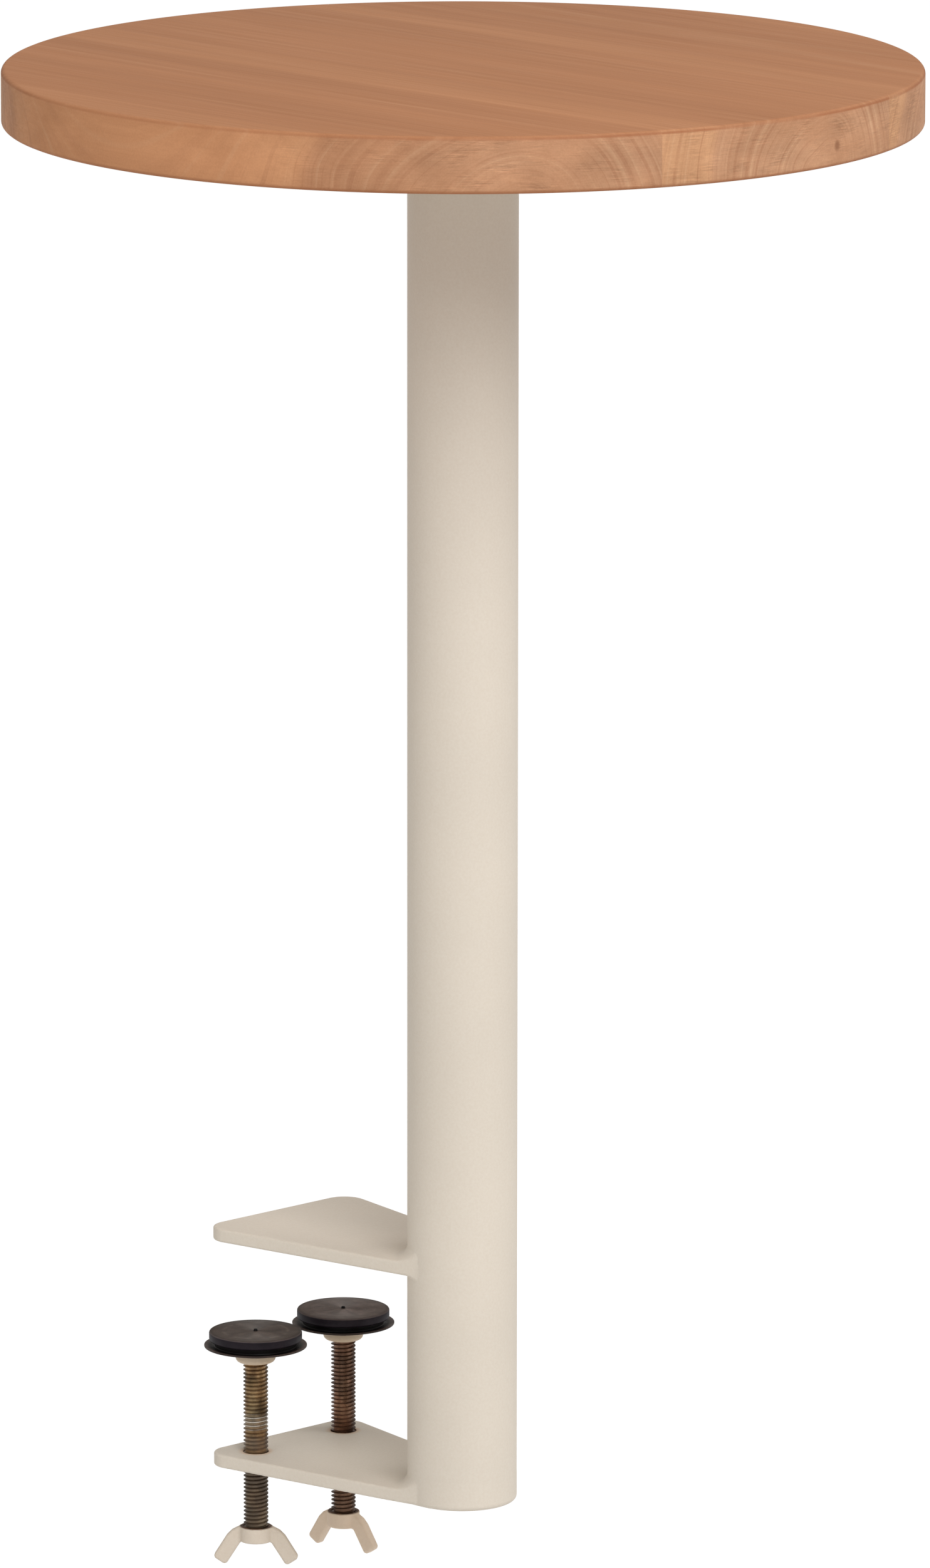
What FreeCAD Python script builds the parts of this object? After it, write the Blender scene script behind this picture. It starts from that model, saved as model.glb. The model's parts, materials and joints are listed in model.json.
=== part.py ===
import FreeCAD, Part
import math
import os
import Sketcher

# Clip-on side table: a round wooden top on a steel post whose lower end is a clamp.
# A fixed jaw and a tapped jaw are welded to the post. Two wing screws in the tapped jaw
# push swivel pads towards the fixed jaw.
# Millimetres. The origin lies on the underside of the fixed jaw, midway between the two
# screw axes. +Z is up and the clamp's mouth opens towards -X.

# Driving dimensions
SIZES = {
    "top_diameter": 400,
    "top_thickness": 24.5,
    "top_round": 2,
    "top_height": 537,
    "stave_width": 139,
    "stave_shift": 5,
    "flange_diameter": 150,
    "flange_thickness": 5,
    "flange_round": 1,
    "fixing_circle": 110,
    "fixing_count": 4,
    "fixing_hole": 5.5,
    "fixing_shank": 4.5,
    "fixing_length": 16,
    "fixing_point": 5,
    "fixing_head": 9,
    "fixing_head_height": 3.2,
    "fixing_head_round": 1.4,
    "pilot_clearance": 0.1,
    "tube_diameter": 48.5,
    "tube_wall": 2.5,
    "mouth_height": 98,
    "jaw_plate": 6,
    "jaw_reach": 106,
    "jaw_margin": 16,
    "jaw_root": 47,
    "jaw_tip": 90,
    "jaw_corner": 10,
    "jaw_round": 0.9,
    "foot_round": 1.6,
    "weld_leg": 5,
    "weld_hollow": 8,
    "weld_stop": 2,
    "flange_weld_leg": 4,
    "screw_spacing": 53.5,
    "rod_diameter": 11.1,
    "journal_diameter": 8,
    "ball_diameter": 8,
    "ball_neck": 5,
    "ball_clearance": 0.3,
    "running_clearance": 0.08,
    "seat_clearance": 0.1,
    "collar_diameter": 18,
    "collar_height": 3.8,
    "collar_round": 2,
    "swivel_gap": 0.8,
    "cap_diameter": 41.6,
    "cap_height": 4.2,
    "cap_web": 2.2,
    "cap_round": 1,
    "cap_fit": 0.05,
    "neck_diameter": 37.5,
    "saucer_depth": 6.2,
    "saucer_dish": 0.5,
    "saucer_diameter": 46,
    "saucer_rim": 0.7,
    "saucer_cone": 1.8,
    "boss_diameter": 17,
    "boss_height": 0.9,
    "hub_diameter": 14.6,
    "hub_height": 7,
    "hub_round": 0.6,
    "hub_fit": 0.05,
    "wing_span": 37.4,
    "wing_drop": 17.5,
    "wing_bar": 6.8,
    "wing_root": 6.6,
    "wing_angle": 57,
    "wing_thickness": 4.4,
    "wing_shoulder": 1.4,
    "wing_shoulder_round": 8,
    "wing_tip_round": 1.7,
    "wing_root_round": 1,
    "wing_edge_round": 1.2,
    "front_opening": 42.4,
    "front_rod_run": 75.9,
    "front_wing_turn": 42.7,
    "rear_opening": 41.3,
    "rear_rod_run": 79.9,
    "rear_wing_turn": 8,
}

# Heights and depths that several pieces share
TOP_UNDERSIDE = "(size.top_height - size.top_thickness)"
FLANGE_UNDERSIDE = "(size.top_height - size.top_thickness - size.flange_thickness)"
TUBE_RADIUS = "(size.tube_diameter / 2)"
CAVITY_RADIUS = "(size.ball_diameter / 2 + size.ball_clearance)"
BALL_DEPTH = f"(size.cap_web + {CAVITY_RADIUS})"
CONE_DEPTH = "(size.saucer_depth + size.saucer_rim + size.saucer_cone)"
BOSS_DEPTH = f"({CONE_DEPTH} + size.boss_height)"
COLLAR_TOP = f"({BOSS_DEPTH} + size.swivel_gap)"
COLLAR_BOTTOM = f"({COLLAR_TOP} + size.collar_height)"

doc = FreeCAD.newDocument("clip_on_side_table")
sheet = doc.addObject("Spreadsheet::Sheet", "size")
for row, (alias, value) in enumerate(SIZES.items(), start=1):
    sheet.set(f"A{row}", alias)
    sheet.set(f"B{row}", str(value))
    sheet.setAlias(f"B{row}", alias)
doc.recompute()

subparts = []


def number(expression):
    """The present value of an expression over the sheet's sizes."""
    return float(sheet.evalExpression(expression.replace("size.", "")))


def place(item, x="0", y="0", z="0", turn="0"):
    """Binds an object's place, and its turn about Z in degrees."""
    item.setExpression("Placement.Base.x", x)
    item.setExpression("Placement.Base.y", y)
    item.setExpression("Placement.Base.z", z)
    if turn != "0":
        item.Placement.Rotation = FreeCAD.Rotation(FreeCAD.Vector(0, 0, 1), number(turn))
        item.setExpression("Placement.Rotation.Angle", turn)


def subpart(item, label):
    """Names a finished piece, so that it is written out under that name."""
    item.Label = label
    subparts.append(item)
    return item


def new_body(label):
    body = doc.addObject("PartDesign::Body", label)
    return subpart(body, label)


def new_sketch(body, role, name):
    """A sketch on one of the body's own origin planes."""
    sketch = body.newObject("Sketcher::SketchObject", name)
    plane = next(item for item in body.Origin.OriginFeatures if item.Role == role)
    sketch.AttachmentSupport = [(plane, "")]
    sketch.MapMode = "FlatFace"
    return sketch


def fix_point(sketch, line, end, x, y):
    """Ties the end of a line to the sheet, by its distances from the sketch's origin."""
    for kind, expression in (("DistanceX", x), ("DistanceY", y)):
        constraint = Sketcher.Constraint(kind, -1, 1, line, end, number(expression))
        index = sketch.addConstraint(constraint)
        sketch.setExpression(f"Constraints[{index}]", expression)


def outline(body, role, name, points, arcs=None):
    """A closed outline through points given as expressions. arcs maps a side's number to
    (radius, bulge): the side is an arc that bulges to the left (1) or right (-1) of its way."""
    sketch = new_sketch(body, role, name)
    arcs = arcs or {}
    corners = [FreeCAD.Vector(number(x), number(y), 0) for x, y in points]
    for side, start in enumerate(corners):
        stop = corners[(side + 1) % len(corners)]
        if side in arcs:
            radius = number(arcs[side][0])
            half = (stop - start) / 2
            left = FreeCAD.Vector(-half.y, half.x, 0).normalize()
            sagitta = radius - math.sqrt(radius ** 2 - half.Length ** 2)
            sketch.addGeometry(Part.Arc(start, start + half + left * sagitta * arcs[side][1], stop), False)
        else:
            sketch.addGeometry(Part.LineSegment(start, stop), False)
    # an arc may be stored the other way round, so each side keeps which of its ends comes first
    ends = {}
    for side, geometry in enumerate(sketch.Geometry):
        forward = geometry.StartPoint.isEqual(corners[side], 1e-6)
        ends[side] = (1, 2) if forward else (2, 1)
    for side in range(len(corners)):
        following = (side + 1) % len(corners)
        meeting = Sketcher.Constraint("Coincident", side, ends[side][1], following, ends[following][0])
        sketch.addConstraint(meeting)
    for side, (x, y) in enumerate(points):
        fix_point(sketch, side, ends[side][0], x, y)
    for side, (radius, _) in arcs.items():
        index = sketch.addConstraint(Sketcher.Constraint("Radius", side, number(radius)))
        sketch.setExpression(f"Constraints[{index}]", radius)
    return sketch


def circles(body, role, name, rounds):
    """A sketch of circles, each given by expressions for its centre and radius."""
    sketch = new_sketch(body, role, name)
    for index, (x, y, radius) in enumerate(rounds):
        centre = FreeCAD.Vector(number(x), number(y), 0)
        sketch.addGeometry(Part.Circle(centre, FreeCAD.Vector(0, 0, 1), number(radius)), False)
        fix_point(sketch, index, 3, x, y)
        constraint = sketch.addConstraint(Sketcher.Constraint("Radius", index, number(radius)))
        sketch.setExpression(f"Constraints[{constraint}]", radius)
    return sketch


def pad(body, sketch, length, both_ways=False):
    feature = body.newObject("PartDesign::Pad", sketch.Name + "_pad")
    feature.Profile = sketch
    feature.Midplane = both_ways
    feature.setExpression("Length", length)
    doc.recompute()
    return feature


def cut_through(body, sketch):
    """Cuts a sketch through the whole body, both ways, and checks that something was cut."""
    before = body.Shape.Volume
    feature = body.newObject("PartDesign::Pocket", sketch.Name + "_pocket")
    feature.Profile = sketch
    feature.Type = "ThroughAll"
    feature.Midplane = True
    doc.recompute()
    if not body.Shape.Volume < before:
        raise RuntimeError(f"{feature.Name} cut nothing")
    return feature


def revolve(body, sketch, sweep=None, axis="V_Axis"):
    """Turns a sketch about its upright axis or a side: a full turn, or a sweep centred on the sketch."""
    feature = body.newObject("PartDesign::Revolution", sketch.Name + "_turned")
    feature.Profile = sketch
    feature.ReferenceAxis = (sketch, [axis])
    feature.Angle = 360
    if sweep:
        feature.Midplane = True
        feature.setExpression("Angle", sweep)
    doc.recompute()
    return feature


def round_edges(body, radius, chosen):
    """Rounds the body's edges that the test chooses."""
    base = body.Tip
    edges = [f"Edge{n}" for n, edge in enumerate(base.Shape.Edges, start=1) if chosen(edge)]
    feature = body.newObject("PartDesign::Fillet", base.Name + "_rounded")
    feature.Base = (base, edges)
    feature.setExpression("Radius", radius)
    doc.recompute()
    return feature


def upright(edge):
    return isinstance(edge.Curve, Part.Line) and abs(edge.tangentAt(edge.FirstParameter).z) > 0.99


def level(edge):
    return edge.BoundBox.ZLength < 1e-6


def along_y(edge):
    return isinstance(edge.Curve, Part.Line) and abs(edge.tangentAt(edge.FirstParameter).y) > 0.99


def at_level(edge, heights):
    return any(abs(edge.CenterOfMass.z - height) < 1e-4 for height in heights)


def cylinder(name, radius, height, x="0", y="0", z="0"):
    item = doc.addObject("Part::Cylinder", name)
    item.setExpression("Radius", radius)
    item.setExpression("Height", height)
    place(item, x, y, z)
    return item


def fixing_places():
    """Where the wood screws stand, as expressions, evenly round the post."""
    count = int(number("size.fixing_count"))
    for index in range(count):
        angle = (index + 0.5) * 360 / count
        x = f"size.jaw_reach + size.fixing_circle / 2 * {math.cos(math.radians(angle)):.6f}"
        y = f"size.fixing_circle / 2 * {math.sin(math.radians(angle)):.6f}"
        yield index, x, y


def make_tabletop():
    """A disc of edge-glued staves that run along X, with pilot holes from below."""
    disc = cylinder("disc", "size.top_diameter / 2", "size.top_thickness", "size.jaw_reach", z=TOP_UNDERSIDE)
    doc.recompute()
    softened = doc.addObject("Part::Fillet", "softened_disc")
    softened.Base = disc
    radius = number("size.top_round")
    rims = [n for n, edge in enumerate(disc.Shape.Edges, start=1) if level(edge)]
    softened.Edges = [(n, radius, radius) for n in rims]
    pilots = doc.addObject("Part::Compound", "pilot_holes")
    pilots.Links = [
        cylinder(
            f"pilot_{index}",
            "size.fixing_shank / 2 + size.pilot_clearance",
            "size.fixing_length - size.flange_thickness + size.pilot_clearance",
            x,
            y,
            TOP_UNDERSIDE,
        )
        for index, x, y in fixing_places()
    ]
    drilled = doc.addObject("Part::Cut", "drilled_disc")
    drilled.Base = softened
    drilled.Tool = pilots
    low = "(size.stave_shift - size.stave_width / 2)"
    high = "(size.stave_shift + size.stave_width / 2)"
    rim = "(size.top_diameter / 2)"
    spans = {
        "front_stave": (f"-{rim}", low),
        "middle_stave": (low, high),
        "rear_stave": (high, rim),
    }
    for label, (start, stop) in spans.items():
        slab = doc.addObject("Part::Box", label + "_slab")
        slab.setExpression("Length", "size.top_diameter")
        slab.setExpression("Width", f"{stop} - {start}")
        slab.setExpression("Height", "size.top_thickness")
        place(slab, f"size.jaw_reach - {rim}", start, TOP_UNDERSIDE)
        stave = doc.addObject("Part::Common", label)
        stave.Base = drilled
        stave.Tool = slab
        subpart(stave, label)


def make_flange():
    """The round plate under the top that closes the tube's upper end."""
    body = new_body("top_flange")
    place(body, "size.jaw_reach", "0", FLANGE_UNDERSIDE)
    plate = circles(body, "XY_Plane", "flange_plate", [("0", "0", "size.flange_diameter / 2")])
    pad(body, plate, "size.flange_thickness")
    round_edges(body, "size.flange_round", lambda edge: level(edge) and edge.CenterOfMass.z < 1e-6)
    rounds = [(f"{x} - size.jaw_reach", y, "size.fixing_hole / 2") for _, x, y in fixing_places()]
    cut_through(body, circles(body, "XY_Plane", "flange_holes", rounds))


def make_fixings():
    """Pan-head wood screws: domed head under the flange, shank and point up in the wood."""
    screws = []
    for index, x, y in fixing_places():
        head = cylinder(
            f"head_{index}",
            "size.fixing_head / 2",
            "size.fixing_head_height",
            x,
            y,
            f"{FLANGE_UNDERSIDE} - size.fixing_head_height",
        )
        doc.recompute()
        domed = doc.addObject("Part::Fillet", f"domed_head_{index}")
        domed.Base = head
        radius = number("size.fixing_head_round")
        bottom = head.Shape.BoundBox.ZMin
        domed.Edges = [
            (n, radius, radius)
            for n, edge in enumerate(head.Shape.Edges, start=1)
            if level(edge) and abs(edge.BoundBox.ZMin - bottom) < 1e-6
        ]
        straight = "(size.fixing_length - size.fixing_point)"
        shank = cylinder(f"shank_{index}", "size.fixing_shank / 2", straight, x, y, FLANGE_UNDERSIDE)
        point = doc.addObject("Part::Cone", f"point_{index}")
        point.setExpression("Radius1", "size.fixing_shank / 2")
        point.Radius2 = 0
        point.setExpression("Height", "size.fixing_point")
        place(point, x, y, f"{FLANGE_UNDERSIDE} + {straight}")
        screw = doc.addObject("Part::MultiFuse", f"wood_screw_{index}")
        screw.Shapes = [domed, shank, point]
        screws.append(screw)
    group = doc.addObject("Part::Compound", "flange_screws")
    group.Links = screws
    subpart(group, "flange_screws")


def make_tube():
    """The post: a round tube from the tapped jaw up to the flange."""
    body = new_body("post_tube")
    place(body, "size.jaw_reach", "0", "-size.mouth_height")
    rings = [("0", "0", TUBE_RADIUS), ("0", "0", f"{TUBE_RADIUS} - size.tube_wall")]
    wall = circles(body, "XY_Plane", "tube_wall_section", rings)
    pad(body, wall, f"{FLANGE_UNDERSIDE} + size.mouth_height")


def jaw_blank(body, name):
    """A plate that widens from the post to its rounded outer corners."""
    corners = [
        ("size.jaw_reach", "-size.jaw_root / 2"),
        ("size.jaw_reach", "size.jaw_root / 2"),
        ("-size.jaw_margin", "size.jaw_tip / 2"),
        ("-size.jaw_margin", "-size.jaw_tip / 2"),
    ]
    pad(body, outline(body, "XY_Plane", name, corners), "size.jaw_plate")
    round_edges(body, "size.jaw_corner", lambda edge: upright(edge) and edge.CenterOfMass.x < 0)
    post = number("size.jaw_reach")
    round_edges(body, "size.jaw_round", lambda edge: level(edge) and edge.BoundBox.XMin < post - 1e-6)


def make_jaws():
    fixed = new_body("fixed_jaw")
    jaw_blank(fixed, "fixed_outline")
    cope = [("size.jaw_reach", "0", TUBE_RADIUS)]
    cut_through(fixed, circles(fixed, "XY_Plane", "fixed_cope", cope))
    tapped = new_body("tapped_jaw")
    place(tapped, "0", "0", "-(size.mouth_height + size.jaw_plate)")
    jaw_blank(tapped, "tapped_outline")
    foot_edge = f"(size.jaw_reach + {TUBE_RADIUS})"
    foot = [
        ("size.jaw_reach", "size.jaw_plate"),
        ("size.jaw_reach", "0"),
        (f"{foot_edge} - size.foot_round", "0"),
        (foot_edge, "size.foot_round"),
        (foot_edge, "size.jaw_plate"),
    ]
    rounded = {2: ("size.foot_round", -1)}
    revolve(tapped, outline(tapped, "XZ_Plane", "tapped_foot", foot, rounded), axis="Edge1")
    bore = "size.rod_diameter / 2 + size.running_clearance"
    bores = [("0", f"{side} * size.screw_spacing / 2", bore) for side in (-1, 1)]
    cut_through(tapped, circles(tapped, "XY_Plane", "tapped_bores", bores))


def weld(label, height, leg, sweep=None, below=False):
    """A hollow-faced bead in the corner between the tube and a plate."""
    body = new_body(label)
    place(body, "size.jaw_reach", "0", height)
    rise = f"-{leg}" if below else leg
    # a part bead lies on the side of the tube that faces the clamp's mouth
    side = "-1" if sweep else "1"
    corners = [
        (f"{side} * {TUBE_RADIUS}", "0"),
        (f"{side} * ({TUBE_RADIUS} + {leg})", "0"),
        (f"{side} * {TUBE_RADIUS}", rise),
    ]
    hollow = {1: ("size.weld_hollow", -1)}
    revolve(body, outline(body, "XZ_Plane", label + "_section", corners, hollow), sweep)


def make_welds():
    # the beads stop short of where the plate's sides run into the tube
    sweep = f"2 * (asin(size.jaw_root / 2 / {TUBE_RADIUS}) - size.weld_stop * 1 deg)"
    weld("flange_weld", FLANGE_UNDERSIDE, "size.flange_weld_leg", below=True)
    weld("fixed_jaw_weld", "size.jaw_plate", "size.weld_leg", sweep)
    weld("tapped_jaw_weld", "-size.mouth_height", "size.weld_leg", sweep)


def make_cap(side, y):
    """The rubber face of a pad: a shallow cup that fits over the saucer's neck."""
    body = new_body(f"{side}_pad_cap")
    place(body, "0", y, f"-size.{side}_opening")
    recess = "(size.neck_diameter / 2 + size.cap_fit)"
    profile = [
        ("0", "0"),
        ("size.cap_diameter / 2", "0"),
        ("size.cap_diameter / 2", "-size.cap_height"),
        (recess, "-size.cap_height"),
        (recess, "-size.cap_web"),
        ("0", "-size.cap_web"),
    ]
    revolve(body, outline(body, "XZ_Plane", f"{side}_cap_section", profile))
    rim = number("size.cap_diameter / 2")
    round_edges(
        body,
        "size.cap_round",
        lambda edge: level(edge) and abs(edge.BoundBox.XMax - rim) < 1e-6,
    )


def make_saucer(side, y):
    """The pad's body: a neck for the cap, a thin dished rim, and a boss with a ball socket."""
    body = new_body(f"{side}_pad_saucer")
    place(body, "0", y, f"-size.{side}_opening")
    mouth = f"sqrt({CAVITY_RADIUS} ^ 2 - ({BOSS_DEPTH} - {BALL_DEPTH}) ^ 2)"
    profile = [
        (CAVITY_RADIUS, "-size.cap_web"),
        ("size.neck_diameter / 2", "-size.cap_web"),
        ("size.neck_diameter / 2", "-(size.saucer_depth + size.saucer_dish)"),
        ("size.saucer_diameter / 2", "-size.saucer_depth"),
        ("size.saucer_diameter / 2", "-(size.saucer_depth + size.saucer_rim)"),
        ("size.boss_diameter / 2", f"-{CONE_DEPTH}"),
        ("size.boss_diameter / 2", f"-{BOSS_DEPTH}"),
        (mouth, f"-{BOSS_DEPTH}"),
        (CAVITY_RADIUS, f"-{BALL_DEPTH}"),
    ]
    socket = {7: (CAVITY_RADIUS, -1)}
    revolve(body, outline(body, "XZ_Plane", f"{side}_saucer_section", profile, socket))


def make_collar(side, y):
    """The thrust collar that turns on the rod's journal, under the pad."""
    body = new_body(f"{side}_collar")
    place(body, "0", y, f"-size.{side}_opening")
    bore = "(size.journal_diameter / 2 + size.running_clearance)"
    profile = [
        (bore, f"-{COLLAR_TOP}"),
        ("size.collar_diameter / 2", f"-{COLLAR_TOP}"),
        ("size.collar_diameter / 2", f"-{COLLAR_BOTTOM}"),
        (bore, f"-{COLLAR_BOTTOM}"),
    ]
    revolve(body, outline(body, "XZ_Plane", f"{side}_collar_section", profile))
    bottom = -number(COLLAR_BOTTOM)
    outer = number("size.collar_diameter / 2")
    round_edges(
        body,
        "size.collar_round",
        lambda edge: level(edge)
        and abs(edge.BoundBox.ZMin - bottom) < 1e-6
        and abs(edge.BoundBox.XMax - outer) < 1e-6,
    )


def make_rod(side, y):
    """The clamp screw: rod, turned-down journal and the ball that the pad swivels on."""
    body = new_body(f"{side}_rod")
    place(body, "0", y, f"-size.{side}_opening")
    shoulder = f"({COLLAR_BOTTOM} + size.seat_clearance)"
    end = f"({COLLAR_BOTTOM} + size.{side}_rod_run + size.hub_height)"
    ball = "size.ball_diameter / 2"
    below_ball = f"({BALL_DEPTH} + sqrt(({ball}) ^ 2 - (size.ball_neck / 2) ^ 2))"
    profile = [
        ("0", f"-{end}"),
        ("size.rod_diameter / 2", f"-{end}"),
        ("size.rod_diameter / 2", f"-{shoulder}"),
        ("size.journal_diameter / 2", f"-{shoulder}"),
        ("size.journal_diameter / 2", f"-{COLLAR_TOP}"),
        ("size.ball_neck / 2", f"-{COLLAR_TOP}"),
        ("size.ball_neck / 2", f"-{below_ball}"),
        (ball, f"-{BALL_DEPTH}"),
        ("0", f"-({BALL_DEPTH} - {ball})"),
    ]
    sphere = {6: (ball, -1), 7: (ball, -1)}
    revolve(body, outline(body, "XZ_Plane", f"{side}_rod_section", profile, sphere))


def make_wing_nut(side, y):
    """A cast nut fixed on the rod's lower end, with two wings that reach out and down."""
    body = new_body(f"{side}_wing_nut")
    hub_top = f"-(size.{side}_opening + {COLLAR_BOTTOM} + size.{side}_rod_run)"
    place(body, "0", y, hub_top, f"size.{side}_wing_turn")
    # the tips are rounded, so their corners stand a little outside the span and drop
    spare = "(size.wing_tip_round * (sin(size.wing_angle) + cos(size.wing_angle) - 1))"
    slope = "(cos(size.wing_angle) / sin(size.wing_angle))"
    reach = f"(size.wing_span / 2 + {spare})"
    drop = f"(size.wing_drop + {spare})"
    tip_rise = f"({drop} - size.wing_bar * cos(size.wing_angle))"
    inner_tip = f"({reach} - size.wing_bar * sin(size.wing_angle))"
    shoulder = f"({reach} - ({tip_rise} - size.wing_shoulder) * {slope})"
    half = [
        ("size.hub_diameter / 2 - size.hub_round", "-size.hub_round"),
        (shoulder, "-size.wing_shoulder"),
        (reach, f"-{tip_rise}"),
        (inner_tip, f"-{drop}"),
        ("size.wing_root", "-size.hub_height"),
    ]
    mirrored = [(f"-({x})", z) for x, z in reversed(half)]
    pad(body, outline(body, "XZ_Plane", f"{side}_wing_outline", half + mirrored), "size.wing_thickness", True)
    for radius, heights in (
        ("size.wing_tip_round", (tip_rise, drop)),
        ("size.wing_shoulder_round", ("size.wing_shoulder",)),
        ("size.wing_root_round", ("size.hub_height",)),
    ):
        levels = [-number(height) for height in heights]
        round_edges(body, radius, lambda edge: along_y(edge) and at_level(edge, levels))
    face = number("size.wing_thickness / 2")
    round_edges(
        body,
        "size.wing_edge_round",
        lambda edge: edge.BoundBox.YLength < 1e-6 and abs(abs(edge.CenterOfMass.y) - face) < 1e-6,
    )
    profile = [
        ("0", "0"),
        ("size.hub_diameter / 2 - size.hub_round", "0"),
        ("size.hub_diameter / 2", "-size.hub_round"),
        ("size.hub_diameter / 2", "-(size.hub_height - size.hub_round)"),
        ("size.hub_diameter / 2 - size.hub_round", "-size.hub_height"),
        ("0", "-size.hub_height"),
    ]
    revolve(body, outline(body, "XZ_Plane", f"{side}_hub_section", profile))
    bore = [("0", "0", "size.rod_diameter / 2 + size.hub_fit")]
    cut_through(body, circles(body, "XY_Plane", f"{side}_hub_bore", bore))


def make_clamp_screws():
    for side, sign in (("front", "-1"), ("rear", "1")):
        y = f"{sign} * size.screw_spacing / 2"
        make_cap(side, y)
        make_saucer(side, y)
        make_collar(side, y)
        make_rod(side, y)
        make_wing_nut(side, y)


def write_parts():
    """Checks every object, then writes each piece to its own file."""
    doc.recompute()
    for item in doc.Objects:
        if "Invalid" in item.State or "Error" in item.State:
            raise RuntimeError(f"{item.Label} failed: {item.State}")
    for item in subparts:
        if item.Shape.isNull() or not item.Shape.isValid() or not item.Shape.Solids:
            raise RuntimeError(f"{item.Label} has no sound solid")
    os.makedirs("parts", exist_ok=True)
    for item in subparts:
        item.Shape.exportStep(f"parts/{item.Label}.step")


make_tabletop()
make_flange()
make_fixings()
make_tube()
make_jaws()
make_welds()
make_clamp_screws()
write_parts()
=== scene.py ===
"""Looks of a clip-on side table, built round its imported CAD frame."""

import itertools
import json
import math

import bpy
import numpy as np
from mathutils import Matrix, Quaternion, Vector


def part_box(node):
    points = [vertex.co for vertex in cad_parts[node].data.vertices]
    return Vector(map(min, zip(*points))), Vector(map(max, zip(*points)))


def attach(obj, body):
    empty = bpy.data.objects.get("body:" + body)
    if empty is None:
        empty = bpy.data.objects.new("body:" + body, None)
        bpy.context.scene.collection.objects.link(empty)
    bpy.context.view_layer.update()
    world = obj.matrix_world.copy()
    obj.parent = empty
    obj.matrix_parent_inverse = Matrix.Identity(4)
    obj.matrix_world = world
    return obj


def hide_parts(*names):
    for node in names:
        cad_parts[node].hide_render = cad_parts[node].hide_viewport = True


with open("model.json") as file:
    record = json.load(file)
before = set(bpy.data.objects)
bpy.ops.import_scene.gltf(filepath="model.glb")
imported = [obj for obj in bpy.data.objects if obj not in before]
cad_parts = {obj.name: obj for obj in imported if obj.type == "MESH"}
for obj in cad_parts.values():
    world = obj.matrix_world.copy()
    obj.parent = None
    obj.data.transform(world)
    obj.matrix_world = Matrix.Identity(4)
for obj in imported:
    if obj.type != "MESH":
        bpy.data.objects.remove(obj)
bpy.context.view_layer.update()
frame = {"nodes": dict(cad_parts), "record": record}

MM = 0.001
SIDES = ("front", "rear")


def in_mm(place):
    """A place in millimetres, to the nearest micron."""
    return [round(value / MM, 3) for value in place]


def corners_of(node):
    """A CAD node's lowest and highest corner in millimetres."""
    return [in_mm(corner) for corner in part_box(node)]


# Places and sizes read from the frame, in millimetres
MOUNTS = {mount["name"]: in_mm(mount["pos_m"]) for mount in frame["record"]["mounts"]}
POST_X, _, TOP_FACE = MOUNTS["table_surface"]
PAD_CENTRE = {side: MOUNTS[f"{side}_pad_face"] for side in SIDES}
SCREW_Y = {side: PAD_CENTRE[side][1] for side in SIDES}
HUB_TOP = {side: corners_of(f"{side}_wing_nut")[1][2] for side in SIDES}
ROD_END = {side: corners_of(f"{side}_rod")[0][2] for side in SIDES}
stave_low, stave_high = corners_of("middle_stave")
TOP_UNDERSIDE = stave_low[2]
TOP_RADIUS = stave_high[0] - POST_X
JOINT_LINES = (stave_low[1], stave_high[1])
tube_high = corners_of("post_tube")[1]
TUBE_RADIUS = tube_high[0] - POST_X
FLANGE_UNDERSIDE = tube_high[2]
jaw_low, jaw_high = corners_of("fixed_jaw")
JAW_OUTER = jaw_low[0]
PLATE = jaw_high[2]
MOUTH = -corners_of("tapped_jaw")[1][2]
ROD_RADIUS = corners_of("front_rod")[1][0]

# Depths of the front pad's pieces under its face, which the rear pad shares, and their radii
cap_low, cap_high = corners_of("front_pad_cap")
CAP_RADIUS = cap_high[0]
CAP_HEIGHT = cap_high[2] - cap_low[2]
saucer_low, saucer_high = corners_of("front_pad_saucer")
SAUCER_RADIUS = saucer_high[0]
CAP_WEB = cap_high[2] - saucer_high[2]
BOSS_DEPTH = cap_high[2] - saucer_low[2]
collar_low, collar_high = corners_of("front_collar")
COLLAR_RADIUS = collar_high[0]
COLLAR_TOP = cap_high[2] - collar_high[2]
COLLAR_BOTTOM = cap_high[2] - collar_low[2]

# Forms of the top and the post, in millimetres
TOP_ROUND = 2.0
RIB_ANGLE = math.radians(0.75)
TUBE_WALL = 2.5
TUBE_RINGS = 40
TUBE_SIDES = 160

# Forms of the wood screws
FIXING_CIRCLE = 55.0
FIXING_HEAD = 4.5
FIXING_HEAD_HEIGHT = 3.2
FIXING_HEAD_ROUND = 1.4
FIXING_SHANK = 2.25
FIXING_LENGTH = 16.0
FIXING_POINT = 5.0
FIXING_TURNS = (12, 71, 38, 55)
FIXING_STEP = 0.2
RECESS_REACH = 2.5
RECESS_WIDTH = 1.3
RECESS_DEPTH = 2.0
RECESS_ROUND = 0.15
RECESS_SHORTENING = 0.6
RECESS_NARROWING = 0.1

# Forms of the jaws, whose thin skin lies on the post round the welds and sinks into it
JAW_TIP = 45.0
JAW_ROOT = 23.5
JAW_CORNER = 10.0
JAW_ROUND = 0.9
JAW_OVERLAP = 4.0
JAW_STEP = 0.6
JAW_MARGIN = 2.0
WELD = 6.5
SMALL_WELD = 2.8
SIDE_FILLET = 0.6
SKIN_DEPTH = 0.05
SKIN_SLOPE = 0.06
SKIN_ABOVE = 12.0
SKIN_BELOW = 8.0
SKIN_BESIDE = 6.0
FOOT_ROUND = 2.3
FOOT_BLEND = (-24.0, 8.0)
FOOT_SWELL = 0.09
FOOT_RISE = 6.0
FOOT_SLOPE = 0.03
BORE_RADIUS = 5.63
BORE_ROUND = 0.15

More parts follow.
